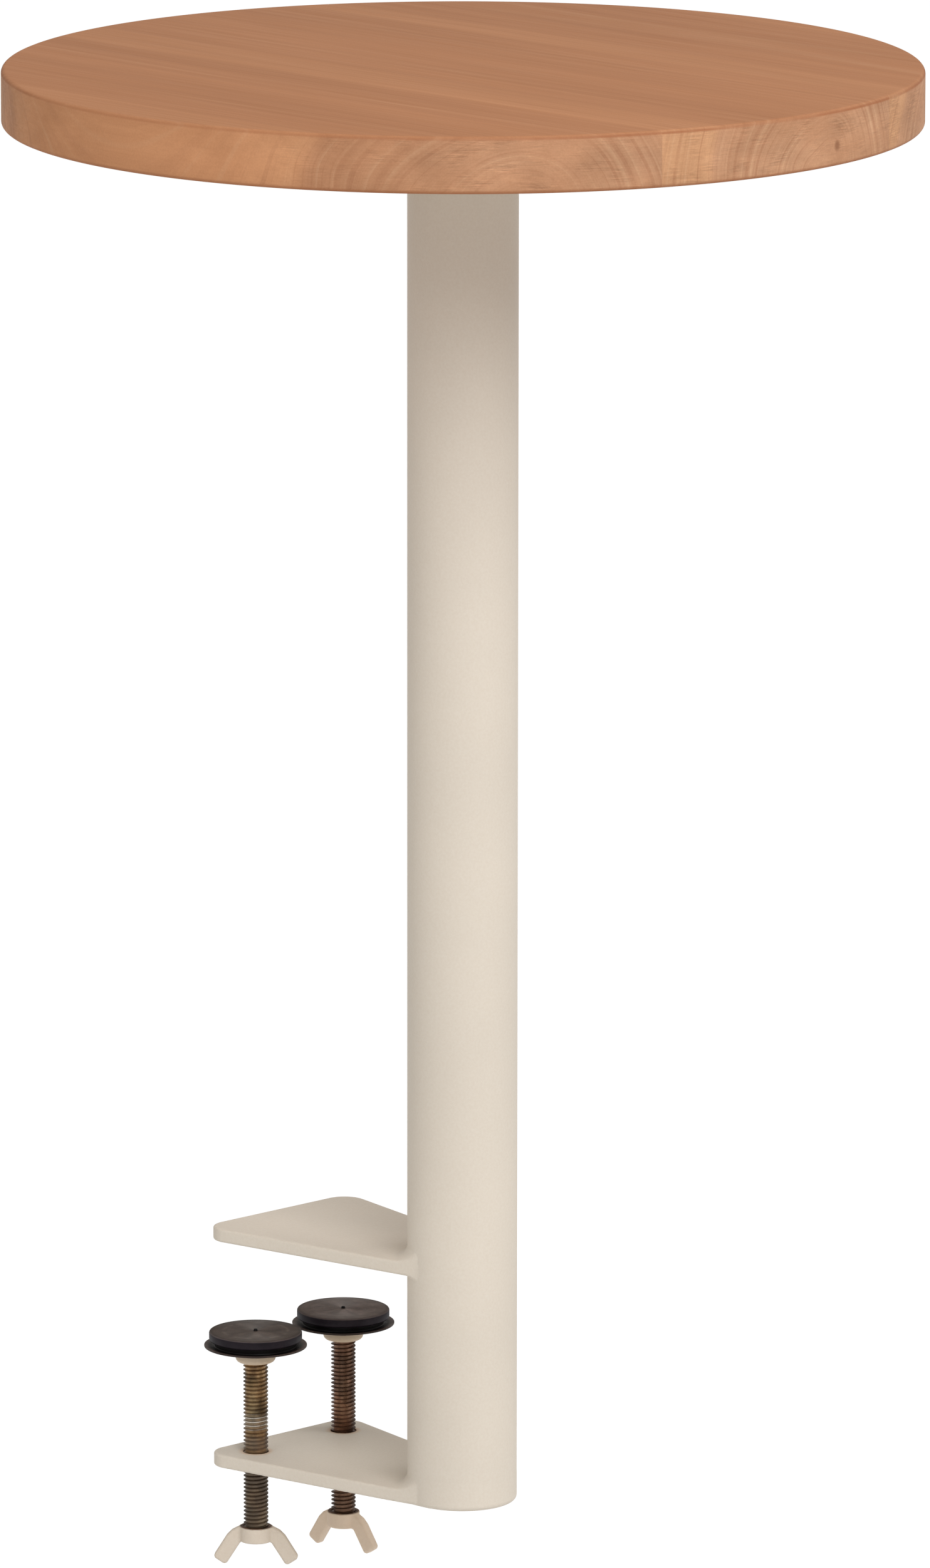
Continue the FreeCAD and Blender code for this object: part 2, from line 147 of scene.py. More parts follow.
# Forms of the rods. A thread's rise is (share of its flank away from the crest, share of its depth)
PITCH = 1.8143
THREAD_DEPTH = {"front": 0.45, "rear": 0.71}
THREAD_FLANK = {"front": 0.26, "rear": 0.15}
THREAD_RISE = ((-1.0, 0.04), (-0.53, 0.5), (-0.2, 1.0), (0.2, 1.0), (0.53, 0.5), (1.0, 0.04))
THREAD_START = 1.0
ROD_HIDDEN = 1.5
ROD_SIDES = 48
CORE_RADIUS = ROD_RADIUS - 0.35
CORE_HEIGHT = 4.0
CORE_CHAMFER = 0.5
CORE_CREST = 0.4

# Forms of the wing nuts, and the corners of a box a little larger than one
WING_TURN = {"front": 42.7, "rear": 8.0}
HUB_RADIUS = 7.3
HUB_HEIGHT = 7.0
HUB_ROUND = 0.6
WING_SPAN = 37.4
WING_DROP = 17.5
WING_BAR = 6.8
WING_ROOT = 6.6
WING_TOP = 0.6
WING_ANGLE = math.radians(57)
WING_THICKNESS = 4.4
WING_ROUND = 1.2
WING_TIP_ROUND = 1.7
WING_SHOULDER = ((13.1, -4.4), (10.7, -2.0), (8.2, -0.7))
NUT_FILLET = 1.2
NUT_OVERLAP = 0.1
NUT_EDGE = 0.3
NUT_STEP = 0.35
NUT_LOW = (-20.5, -8.5, -18.5)
NUT_HIGH = (20.5, 8.5, 1.0)

# Forms of the pads and collars
PIP_HEIGHT = 0.9
PIP_RADIUS = 0.75
PIP_ROUND = 0.4
PIP_FOOT_RADIUS = 0.95
PIP_FILLET = 0.2
FACE_RING = 14.4
CAP_ROUND = 0.8
CAP_FOOT_ROUND = 1.0
NECK_RADIUS = 18.75
NECK_UNDERCUT = 0.6
DISH_DEPTH = 6.7
DISH_WIDTH = 1.0
DISH_FALL = 0.1
DISH_ROUND = 0.5
RIM_DEPTH = 6.2
RIM_HEIGHT = 0.7
RIM_ROUND = 0.1
RIM_FOOT_ROUND = 0.25
CONE_RADIUS = 9.5
CONE_DEPTH = 8.85
CONE_FILLET = 1.0
BOSS_RADIUS = 8.5
BOSS_TOP = 9.05
BOSS_FILLET = 0.15
BOSS_ROUND = 0.3
JOURNAL_RADIUS = 4.0
PAD_SIDES = 128
COLLAR_ROUND = 0.4
COLLAR_FOOT_ROUND = 2.2


# Mesh tools

def new_piece(name, points, faces, smooth_angle=35):
    """A mesh object from points in millimetres, smooth but for edges over an angle in degrees."""
    mesh = bpy.data.meshes.new(name)
    mesh.from_pydata((np.asarray(points) * MM).tolist(), [], [list(map(int, face)) for face in faces])
    mesh.validate()
    mesh.polygons.foreach_set("use_smooth", [True] * len(mesh.polygons))
    mesh.set_sharp_from_angle(angle=math.radians(smooth_angle))
    piece = bpy.data.objects.new(name, mesh)
    bpy.context.scene.collection.objects.link(piece)
    return piece


def dress(piece, body, material, slot, *nodes):
    """Ties a piece to its CAD body, gives it a material and hides the nodes it stands for."""
    piece.data.materials.append(material)
    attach(piece, body)
    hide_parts(*nodes)


def turned(points, angle):
    """Points turned about Z by an angle in degrees."""
    cosine = math.cos(math.radians(angle))
    sine = math.sin(math.radians(angle))
    return points @ np.array([[cosine, sine, 0], [-sine, cosine, 0], [0, 0, 1]])


def rounded_path(corners, steps=5):
    """A line of (radius, height) points whose corners are rounded by their third number."""
    path = []
    for index, (r, z, rounding) in enumerate(corners):
        here = np.array([r, z], float)
        if rounding == 0:
            path.append(here)
            continue
        to_last = np.array(corners[index - 1][:2], float) - here
        to_next = np.array(corners[index + 1][:2], float) - here
        to_last /= np.linalg.norm(to_last)
        to_next /= np.linalg.norm(to_next)
        half = math.acos(np.clip(to_last @ to_next, -1, 1)) / 2
        reach = rounding / math.tan(half)
        middle = to_last + to_next
        centre = here + middle / np.linalg.norm(middle) * rounding / math.sin(half)
        start = here + to_last * reach - centre
        stop = here + to_next * reach - centre
        sweep = math.acos(np.clip(start @ stop / rounding ** 2, -1, 1))
        for share in np.linspace(0, 1, steps):
            weights = np.sin([(1 - share) * sweep, share * sweep]) / math.sin(sweep)
            path.append(centre + weights[0] * start + weights[1] * stop)
    return path


def ring_numbers(points, width, base=0):
    """The numbers of points made ring by ring, from a base."""
    return [range(base + start, base + start + width) for start in range(0, len(points), width)]


def faces_between(rings):
    """Faces from each ring of point numbers to the next, with no point twice in a face."""
    faces = []
    for upper, lower in zip(rings, rings[1:]):
        for k in range(len(upper)):
            following = (k + 1) % len(upper)
            corners = (upper[k], lower[k], lower[following], upper[following])
            faces.append(list(dict.fromkeys(corners)))
    return faces


def lathe(name, path, centre, count=96):
    """Turns a line of (radius, height) points round an upright axis, from the top outwards and down."""
    angles = np.arange(count) * math.tau / count
    points = []
    rings = []
    for r, z in path:
        if r == 0:
            rings.append([len(points)] * count)
            points.append([centre[0], centre[1], centre[2] + z])
            continue
        rings.append(range(len(points), len(points) + count))
        for angle in angles:
            points.append([centre[0] + r * math.cos(angle), centre[1] + r * math.sin(angle), centre[2] + z])
    return new_piece(name, points, faces_between(rings))


def surface_net(field, low, high, step):
    """Points and faces of the surface where a field, a signed distance in millimetres, is zero in a box."""
    axes = [np.arange(start, stop + step, step) for start, stop in zip(low, high)]
    value = field(*np.meshgrid(*axes, indexing="ij"))
    inside = value < 0
    shape = np.array(value.shape) - 1
    filled = np.zeros(shape, int)
    for offset in itertools.product((0, 1), repeat=3):
        filled += inside[tuple(slice(o, o + n) for o, n in zip(offset, shape))]
    # one point for each cell that the surface runs through
    cells = np.argwhere((filled > 0) & (filled < 8))
    number = np.full(shape, -1)
    number[tuple(cells.T)] = np.arange(len(cells))
    points = np.array(low) + (cells + amid_crossings(value, cells)) * step
    return settle(points, field, step), faces_round_edges(inside, number)


def amid_crossings(value, cells):
    """For each cell, the middle of the places where its edges cross the surface, as shares of the cell."""
    total = np.zeros((len(cells), 3))
    crossings = np.zeros(len(cells))
    for axis in range(3):
        along = np.eye(3, dtype=int)[axis]
        for offset in itertools.product((0, 1), repeat=2):
            start = np.insert(offset, axis, 0)
            a = value[tuple((cells + start).T)]
            b = value[tuple((cells + start + along).T)]
            crossed = (a < 0) != (b < 0)
            share = np.where(crossed, a / np.where(crossed, a - b, 1), 0)
            total += crossed[:, None] * (start + share[:, None] * along)
            crossings += crossed
    return total / crossings[:, None]


def faces_round_edges(inside, number):
    """A face for each grid edge that crosses the surface, through the four cells round that edge."""
    shape = np.array(number.shape)
    faces = []
    for axis in range(3):
        u = np.eye(3, dtype=int)[(axis + 1) % 3]
        v = np.eye(3, dtype=int)[(axis + 2) % 3]
        near = np.take(inside, range(shape[axis]), axis)
        far = np.take(inside, range(1, shape[axis] + 1), axis)
        edges = np.argwhere(near != far)
        edges = edges[np.all((edges >= u + v) & (edges < shape), axis=1)]
        quads = np.stack([number[tuple((edges - shift).T)] for shift in (0 * u, u, u + v, v)], 1)
        outward = near[tuple(edges.T)]
        faces.append(np.where(outward[:, None], quads, quads[:, ::-1]))
    return np.concatenate(faces)


def settle(points, field, step):
    """Moves points onto the field's zero surface."""
    small = step * 0.05
    for _ in range(3):
        value = field(*points.T)
        slope = np.zeros_like(points)
        for axis in range(3):
            shift = np.eye(3)[axis] * small
            slope[:, axis] = (field(*(points + shift).T) - field(*(points - shift).T)) / (2 * small)
        move = value[:, None] * slope / np.maximum((slope ** 2).sum(1), 0.1)[:, None]
        points = points - np.clip(move, -0.5 * step, 0.5 * step)
    return points


# Distance fields

def inset(corners, margin):
    """A convex outline, given counter-clockwise, moved inwards by a margin."""
    corners = np.array(corners, float)
    ways = np.roll(corners, -1, 0) - corners
    ways /= np.linalg.norm(ways, axis=1)[:, None]
    normals = np.stack([ways[:, 1], -ways[:, 0]], 1)
    offsets = (normals * corners).sum(1) - margin
    moved = []
    for k in range(len(corners)):
        moved.append(np.linalg.solve(normals[[k - 1, k]], offsets[[k - 1, k]]))
    return np.array(moved)


def outline_distance(x, y, corners, rounding):
    """Signed distance to a convex outline whose corners are rounded."""
    corners = inset(corners, rounding)
    nearest = np.full(np.shape(x), np.inf)
    deepest = np.full(np.shape(x), -np.inf)
    for start, stop in zip(corners, np.roll(corners, -1, 0)):
        way = stop - start
        dx = x - start[0]
        dy = y - start[1]
        share = np.clip((dx * way[0] + dy * way[1]) / (way @ way), 0, 1)
        nearest = np.minimum(nearest, np.hypot(dx - share * way[0], dy - share * way[1]))
        deepest = np.maximum(deepest, (dx * way[1] - dy * way[0]) / np.linalg.norm(way))
    return np.where(deepest < 0, -nearest, nearest) - rounding


def slab(flat, across, rounding):
    """An outline given some thickness, with rounded edges. across is the distance outside its two faces."""
    a = flat + rounding
    b = across + rounding
    return np.hypot(np.maximum(a, 0), np.maximum(b, 0)) + np.minimum(np.maximum(a, b), 0) - rounding


def join(a, b, fillet):
    """Two solids in one, with a hollow fillet between them."""
    u = np.maximum(fillet - a, 0)
    v = np.maximum(fillet - b, 0)
    return np.maximum(fillet, np.minimum(a, b)) - np.hypot(u, v)


def cut(a, b, rounding):
    """One solid less another, with a rounded edge."""
    u = np.maximum(rounding + a, 0)
    v = np.maximum(rounding - b, 0)
    return np.minimum(-rounding, np.maximum(a, -b)) + np.hypot(u, v)


# Pieces of the frame

def make_staves(materials):
    """The round top's three boards, parted along straight glue lines."""
    corners = [
        (0, TOP_FACE, 0),
        (TOP_RADIUS, TOP_FACE, TOP_ROUND),
        (TOP_RADIUS, TOP_UNDERSIDE, TOP_ROUND),
        (0, TOP_UNDERSIDE, 0),
    ]
    rim = rounded_path(corners, 7)[1:-1]
    edges = (-TOP_RADIUS, *JOINT_LINES, TOP_RADIUS)
    for (label, material), low, high in zip(materials.items(), edges, edges[1:]):
        make_stave(label, rim, low, high, material)


def make_stave(label, rim, low, high, material):
    """One board: ribs across it from edge to edge of the disc, each following the rounded rim."""
    start = math.asin(low / TOP_RADIUS)
    stop = math.asin(high / TOP_RADIUS)
    count = int((stop - start) / RIB_ANGLE)
    points = []
    for angle in np.linspace(start, stop, count + 1):
        level = TOP_RADIUS * math.sin(angle)
        glued = any(math.isclose(level, line) for line in JOINT_LINES)
        right = []
        for r, z in rim:
            # a rib at a glue line lies flat in it, the others point at the disc's centre
            y = level if glued else r * math.sin(angle)
            right.append((POST_X + math.sqrt(max(r ** 2 - y ** 2, 0)), y, z))
        points += right
        points += [(2 * POST_X - x, y, z) for x, y, z in reversed(right)]
    ribs = ring_numbers(points, 2 * len(rim))
    piece = new_piece(label + "_wood", points, [*faces_between(ribs), ribs[0], ribs[-1][::-1]])
    dress(piece, "frame", material, "wood", label)


def make_post(material):
    """The tube, open at both ends inside the pieces that close it."""
    inner = TUBE_RADIUS - TUBE_WALL
    path = [(inner, FLANGE_UNDERSIDE)]
    path += [(TUBE_RADIUS, z) for z in np.linspace(FLANGE_UNDERSIDE, -MOUTH, TUBE_RINGS)]
    path += [(inner, -MOUTH), (inner, FLANGE_UNDERSIDE)]
    piece = lathe("post", path, (POST_X, 0, 0), TUBE_SIDES)
    dress(piece, "frame", material, "paint", "post_tube")


def fixing_field(x, y, z):
    """A pan-head wood screw about its own axis: head with a cross recess below zero, shank above."""
    off_axis = np.hypot(x, y)
    above = np.maximum(z - FIXING_HEAD_ROUND, -FIXING_HEAD_HEIGHT - z)
    head = np.maximum(slab(off_axis - FIXING_HEAD, above, FIXING_HEAD_ROUND), z)
    deep = z + FIXING_HEAD_HEIGHT
    reach = RECESS_REACH - RECESS_SHORTENING * deep
    half_width = RECESS_WIDTH / 2 - RECESS_NARROWING * deep
    wings = [np.maximum(np.abs(a) - reach, np.abs(b) - half_width) for a, b in ((x, y), (y, x))]
    recess = np.maximum(np.minimum(*wings), deep - RECESS_DEPTH)
    narrowing = np.clip((FIXING_LENGTH - z) / FIXING_POINT, 0, 1)
    shank = np.maximum(off_axis - FIXING_SHANK * narrowing, np.maximum(-z, z - FIXING_LENGTH))
    return np.minimum(cut(head, recess, RECESS_ROUND), shank)


def make_fixings(material):
    """The wood screws under the flange, each turned as it came tight."""
    margin = 2 * FIXING_STEP
    half = FIXING_HEAD + margin
    low = (-half, -half, -FIXING_HEAD_HEIGHT - margin)
    high = (half, half, FIXING_LENGTH + margin)
    points, faces = surface_net(fixing_field, low, high, FIXING_STEP)
    screws = []
    for index, turn in enumerate(FIXING_TURNS):
        angle = math.tau * (index + 0.5) / len(FIXING_TURNS)
        x = POST_X + FIXING_CIRCLE * math.cos(angle)
        y = FIXING_CIRCLE * math.sin(angle)
        screws.append(turned(points, turn) + (x, y, FLANGE_UNDERSIDE))
    numbered = [faces + index * len(points) for index in range(len(screws))]
    piece = new_piece("wood_screws", np.concatenate(screws), np.concatenate(numbered), smooth_angle=40)
    dress(piece, "frame", material, "fixing_steel", "flange_screws")


def jaw_outline(x, y):
    """Distance in plan to a jaw plate, which ends inside the post."""
    slope = (JAW_TIP - JAW_ROOT) / (POST_X - JAW_OUTER)
    # the outline runs on past the post, and is cut off inside it
    far = 60.0
    narrow = JAW_ROOT - far * slope
    corners = [(JAW_OUTER, -JAW_TIP), (POST_X + far, -narrow), (POST_X + far, narrow), (JAW_OUTER, JAW_TIP)]
    return np.maximum(outline_distance(x, y, corners, JAW_CORNER), x - POST_X - JAW_OVERLAP)


def beside_post(x, y):
    """Distance to the post, taken a hair small so that a weld's toe runs out under its surface."""
    return np.hypot(x - POST_X, y) - TUBE_RADIUS + SKIN_DEPTH


def fixed_jaw_field(x, y, z):
    """The plate with its hollow weld above, and a small bead below."""
    flat = jaw_outline(x, y)
    post = beside_post(x, y)
    above = join(z - PLATE, post, WELD)
    below = join(-z, post, SMALL_WELD)
    welded = slab(flat, np.maximum(above, below), JAW_ROUND)
    plate = slab(flat, np.maximum(z - PLATE, -z), JAW_ROUND)
    # away from the plate it sinks under the post's surface, and ends there
    sunk = post + SKIN_SLOPE * np.maximum(plate - SIDE_FILLET, 0)
    whole = np.minimum(welded, join(plate, sunk, SIDE_FILLET))
    outside = np.maximum(np.maximum(z - PLATE - SKIN_ABOVE, -z - SKIN_BELOW), flat - SKIN_BESIDE)
    return np.maximum(whole, outside)


def tapped_jaw_field(x, y, z):
    """The plate with its weld, its round foot under the post, and two tapped holes."""
    flat = jaw_outline(x, y)
    post = beside_post(x, y)
    above = join(z + MOUTH, post, WELD)
    # the foot's side runs up over the post's end, then sinks under its surface
    foot = post - FOOT_SWELL + FOOT_SLOPE * np.maximum(z + MOUTH - FOOT_RISE, 0)
    upper = np.minimum(slab(flat, above, JAW_ROUND), foot)
    lower_round = np.interp(x - POST_X, FOOT_BLEND, (JAW_ROUND, FOOT_ROUND))
    lower = slab(join(flat, foot, SIDE_FILLET), -MOUTH - PLATE - z, lower_round)
    whole = np.maximum(np.maximum(upper, lower), z + MOUTH - SKIN_ABOVE)
    for screw_y in SCREW_Y.values():
        whole = cut(whole, np.hypot(x, y - screw_y) - BORE_RADIUS, BORE_ROUND)
    return whole


def make_jaw(node, field, bottom, top, material):
    """A plate in one piece with its weld."""
    low = (JAW_OUTER - JAW_MARGIN, -JAW_TIP - JAW_MARGIN, bottom - JAW_MARGIN)
    high = (POST_X + TUBE_RADIUS + JAW_MARGIN, JAW_TIP + JAW_MARGIN, top + JAW_MARGIN)
    net = surface_net(field, low, high, JAW_STEP)
    piece = new_piece(f"{node}_plate", *net, smooth_angle=60)
    dress(piece, "frame", material, "paint", node, f"{node}_weld")


# Pieces of the clamp screws

def round_screw(side, radius, share, height):
    """A point at a share of a turn round the axis of one clamp screw."""
    angle = math.tau * share
    return [radius * math.cos(angle), SCREW_Y[side] + radius * math.sin(angle), height]


def thread(side):
    """Points, faces and heights of a right-hand thread. Its rows of points follow it round the rod."""
    top = PAD_CENTRE[side][2] - COLLAR_BOTTOM + ROD_HIDDEN
    end = ROD_END[side]
    depth = THREAD_DEPTH[side] * PITCH
    profile = [(0.0, 0.0)]
    profile += [(0.5 + share * THREAD_FLANK[side], height) for share, height in THREAD_RISE]
    points = []
    heights = []
    for turn in range(int((top - end) / PITCH)):
        for share, height in profile:
            radius = ROD_RADIUS - depth * (1 - height)
            for k in range(ROD_SIDES):
                z = end + THREAD_START + (turn + share + k / ROD_SIDES) * PITCH
                points.append(round_screw(side, radius, k / ROD_SIDES, min(z, top)))
                heights.append(height)
    faces = []
    for row in range(len(points) // ROD_SIDES - 1):
        for k in range(ROD_SIDES):
            here = row * ROD_SIDES + k
            # a row's last point meets the first one of the same row a turn higher
            right = here + 1 if k < ROD_SIDES - 1 else (row + len(profile)) * ROD_SIDES
            if right + ROD_SIDES < len(points):
                faces.append([here, right, right + ROD_SIDES, here + ROD_SIDES])
    return points, faces, heights


def plain_end(side, base):
    """Points and faces of a rod's plain end under its thread, numbered from a base."""
    end = ROD_END[side]
    path = (
        (CORE_RADIUS, end + CORE_HEIGHT),
        (CORE_RADIUS, end + CORE_CHAMFER),
        (CORE_RADIUS - CORE_CHAMFER, end),
    )
    points = [round_screw(side, radius, k / ROD_SIDES, z) for radius, z in path for k in range(ROD_SIDES)]
    rings = ring_numbers(points, ROD_SIDES, base)
    return points, [*faces_between(rings), rings[-1][::-1]]


def make_rod(side, material):
    """A threaded rod with a plain end. Each point keeps its height on the thread for the material."""
    points, faces, heights = thread(side)
    end_points, end_faces = plain_end(side, len(points))
    heights += [CORE_CREST] * len(end_points)
    piece = new_piece(f"{side}_threaded_rod", points + end_points, faces + end_faces, smooth_angle=32)
    crest = piece.data.attributes.new("crest", "FLOAT", "POINT")
    crest.data.foreach_set("value", np.array(heights, np.float32))
    dress(piece, f"{side}_screw", material, "rod_steel", f"{side}_rod")


def wing_field(x, y, z):
    """A cast wing nut about its own axis, hub top at zero, wings along X."""
    off_axis = np.hypot(x, y)
    spare = WING_TIP_ROUND * (math.sin(WING_ANGLE) + math.cos(WING_ANGLE) - 1)
    reach = WING_SPAN / 2 + spare
    drop = WING_DROP + spare
    tip_rise = drop - WING_BAR * math.cos(WING_ANGLE)
    inner_tip = reach - WING_BAR * math.sin(WING_ANGLE)
    inner_slope = (inner_tip - WING_ROOT) / (drop - HUB_HEIGHT)
    inner_top = WING_ROOT - (HUB_HEIGHT - WING_TOP) * inner_slope
    bar = [(inner_top, -WING_TOP), (inner_tip, -drop), (reach, -tip_rise), *WING_SHOULDER]
    flat = outline_distance(np.abs(x), z, bar, WING_TIP_ROUND)
    wings = slab(flat, np.abs(y) - WING_THICKNESS / 2, WING_ROUND)
    hub = slab(off_axis - HUB_RADIUS, np.abs(z + HUB_HEIGHT / 2) - HUB_HEIGHT / 2, HUB_ROUND)
    whole = np.maximum(join(hub, wings, NUT_FILLET), z)
    return cut(whole, off_axis - ROD_RADIUS + NUT_OVERLAP, NUT_EDGE)


def make_wing_nut(side, material):
    """A wing nut, turned as it stands on its rod."""
    points, faces = surface_net(wing_field, NUT_LOW, NUT_HIGH, NUT_STEP)
    points = turned(points, WING_TURN[side]) + (0, SCREW_Y[side], HUB_TOP[side])
    piece = new_piece(f"{side}_cast_nut", points, faces, smooth_angle=60)
    dress(piece, f"{side}_screw", material, "paint", f"{side}_wing_nut")


def make_pad(side, rubber, plastic):
    """The rubber cap with its turned face, and the saucer under it."""
    corners = [
        (0, PIP_HEIGHT, 0),
        (PIP_RADIUS, PIP_HEIGHT, PIP_ROUND),
        (PIP_FOOT_RADIUS, 0, PIP_FILLET),
        # a ring on the flat face keeps the shading of the rounded edge away from the middle
        (FACE_RING, 0, 0),
        (CAP_RADIUS, 0, CAP_ROUND),
        (CAP_RADIUS, -CAP_HEIGHT, CAP_FOOT_ROUND),
        (NECK_RADIUS, -CAP_HEIGHT, 0),
    ]
    cap = lathe(f"{side}_rubber_cap", rounded_path(corners), PAD_CENTRE[side], PAD_SIDES)
    dress(cap, f"{side}_pad", rubber, "pad_rubber", f"{side}_pad_cap")
    corners = [
        (NECK_RADIUS, -CAP_WEB, 0),
        (NECK_RADIUS - NECK_UNDERCUT, -DISH_DEPTH, DISH_ROUND),
        (NECK_RADIUS + DISH_WIDTH, -DISH_DEPTH - DISH_FALL, DISH_ROUND),
        (SAUCER_RADIUS, -RIM_DEPTH, RIM_ROUND),
        (SAUCER_RADIUS, -RIM_DEPTH - RIM_HEIGHT, RIM_FOOT_ROUND),
        (CONE_RADIUS, -CONE_DEPTH, CONE_FILLET),
        (BOSS_RADIUS, -BOSS_TOP, BOSS_FILLET),
        (BOSS_RADIUS, -BOSS_DEPTH, BOSS_ROUND),
        (JOURNAL_RADIUS, -BOSS_DEPTH, 0),
    ]
    saucer = lathe(f"{side}_moulded_saucer", rounded_path(corners), PAD_CENTRE[side], PAD_SIDES)
    dress(saucer, f"{side}_pad", plastic, "saucer_plastic", f"{side}_pad_saucer")


def make_collar(side, material):
    """The collar under a pad, well rounded at its foot."""
    corners = [
        (JOURNAL_RADIUS, -COLLAR_TOP, 0),
        (COLLAR_RADIUS, -COLLAR_TOP, COLLAR_ROUND),
        (COLLAR_RADIUS, -COLLAR_BOTTOM, COLLAR_FOOT_ROUND),
        (JOURNAL_RADIUS, -COLLAR_BOTTOM, 0),
    ]
    piece = lathe(f"{side}_thrust_collar", rounded_path(corners, 8), PAD_CENTRE[side])
    dress(piece, f"{side}_carriage", material, "paint", f"{side}_collar")


# Node tools

def empty_tree(owner, kind="Material"):
    """The node tree of a material or world with nothing but its output, and the output's socket."""
    owner.use_nodes = True
    tree = owner.node_tree
    tree.nodes.clear()
    return tree, tree.nodes.new("ShaderNodeOutput" + kind).inputs["Surface"]


def new_material(name):
    """A material, its tree, its main shader, and each point's own place in the frame in metres."""
    material = bpy.data.materials.new(name)
    tree, surface = empty_tree(material)
    shader = tree.nodes.new("ShaderNodeBsdfPrincipled")
    tree.links.new(shader.outputs["BSDF"], surface)
    return material, tree, shader, tree.nodes.new("ShaderNodeTexCoord").outputs["Object"]


def fill(tree, node, inputs):
    """Gives a node's inputs their links or plain values."""
    for key, value in inputs.items():
        if isinstance(value, bpy.types.NodeSocket):
            tree.links.new(value, node.inputs[key])
        else:
            node.inputs[key].default_value = value


def add(tree, kind, inputs, **settings):
    """A node with its settings and inputs."""
    node = tree.nodes.new("ShaderNode" + kind)
    for key, value in settings.items():
        setattr(node, key, value)
    fill(tree, node, inputs)
    return node


def calc(tree, operation, *values, clamp=False):
    """The result of a Math node."""
    inputs = dict(enumerate(values))
    return add(tree, "Math", inputs, operation=operation, use_clamp=clamp).outputs[0]


def times(tree, a, b):
    """The product of two values."""
    return calc(tree, "MULTIPLY", a, b)


def vector_calc(tree, operation, *values):
    """The outputs of a Vector Math node."""
    return add(tree, "VectorMath", dict(enumerate(values)), operation=operation).outputs


def scaled(tree, vector, scale, shift=(0, 0, 0)):
    """A vector times a scale, plus a shift."""
    return vector_calc(tree, "MULTIPLY_ADD", vector, scale, shift)[0]


def length(tree, vector):
    """A vector's length."""
    return vector_calc(tree, "LENGTH", vector)["Value"]


def noise(tree, vector, scale, detail=3.0, roughness=0.5):
    """A noise value, about 0.5 on average."""
    inputs = {"Vector": vector, "Scale": scale, "Detail": detail, "Roughness": roughness}
    return add(tree, "TexNoise", inputs).outputs["Fac"]


def stretched(tree, vector, scale, shift=(0, 0, 0), detail=3.0, roughness=0.5):
    """A noise with a scale for each axis."""
    return noise(tree, scaled(tree, vector, scale, shift), 1.0, detail, roughness)


def span(tree, value, low, high, to_low=0.0, to_high=1.0, smooth=False):
    """A value's way from low to high, as a number from to_low to to_high."""
    kind = "SMOOTHSTEP" if smooth else "LINEAR"
    inputs = {"Value": value, "From Min": low, "From Max": high, "To Min": to_low, "To Max": to_high}
    return add(tree, "MapRange", inputs, interpolation_type=kind).outputs[0]


def span_mm(tree, value, low, high, to_high=1.0, smooth=False):
    """As span, for a length with limits in millimetres."""
    return span(tree, value, low * MM, high * MM, 0.0, to_high, smooth)


def between(tree, value, limits, unit=1.0):
    """A share that rises between the first two of four limits and falls between the last two."""
    start, full, fading, stop = (limit * unit for limit in limits)
    return times(tree, span(tree, value, start, full), span(tree, value, stop, fading))


def ramp(tree, value, stops):
    """A colour ramp of (place, colour) stops."""
    node = add(tree, "ValToRGB", {"Fac": value})
    elements = node.color_ramp.elements
    while len(elements) < len(stops):
        elements.new(0.5)
    for element, (place, colour) in zip(elements, stops):
        element.position = place
        element.color = (*colour, 1)
    return node.outputs["Color"]


def mixed(tree, share, a, b, way="MIX"):
    """Colour a turned into b by a share, or blended with b in another way."""
    inputs = {0: share}
    for socket, colour in ((6, a), (7, b)):
        inputs[socket] = colour if isinstance(colour, bpy.types.NodeSocket) else (*colour, 1)
    return add(tree, "Mix", inputs, data_type="RGBA", blend_type=way).outputs[2]


def tinted(tree, colour, value, low, high, spread=(0.3, 0.7), share=1.0):
    """A colour times a grey that goes from low, where it is a little warm, to high with a value."""
    warm_low = (low, low * 0.985, low * 0.97)
    greys = ramp(tree, value, [(spread[0], warm_low), (spread[1], (high, high, high))])
    return mixed(tree, share, colour, greys, "MULTIPLY")


def parts_of(tree, vector):
    """A vector's X, Y and Z."""
    return add(tree, "SeparateXYZ", {0: vector}).outputs


def facing(tree):
    """The X, Y and Z of the way that the surface faces."""
    return parts_of(tree, add(tree, "NewGeometry", {}).outputs["Normal"])


def from_screw(tree, place, side):
    """The way in plan from the axis of one clamp screw to a place."""
    return scaled(tree, place, (1, 1, 0), (0, -SCREW_Y[side] * MM, 0))


def bump(tree, shader, height, strength, distance):
    """Bends a shader's normal by a height."""
    inputs = {"Height": height, "Strength": strength, "Distance": distance}
    tree.links.new(add(tree, "Bump", inputs).outputs[0], shader.inputs["Normal"])


# Wood

HEART = (0.512, 0.237, 0.118)
END_GRAIN = (0.56, 0.318, 0.19)
SAP = (0.63, 0.348, 0.19)
SIDE_SAP = (0.63, 0.308, 0.156)
LATE = (0.36, 0.15, 0.075)
EARLY = (0.70, 0.44, 0.27)
OIL_AND_SHADE = (0.36, 0.13, 0.055)
KNOT = (0.26, 0.11, 0.055)
PITH_WANDER = 16 * MM
SAP_EDGE = 2.5
KNOT_REACH = 18.0
KNOT_PUSH = 7 * MM
KNOT_CORE = (2.6, 0.6)
KNOT_HEIGHT = 0.75
RING_SCALE = 330.0
RINGS_ON_FACES = 0.16
RINGS_ON_RIM = 0.42


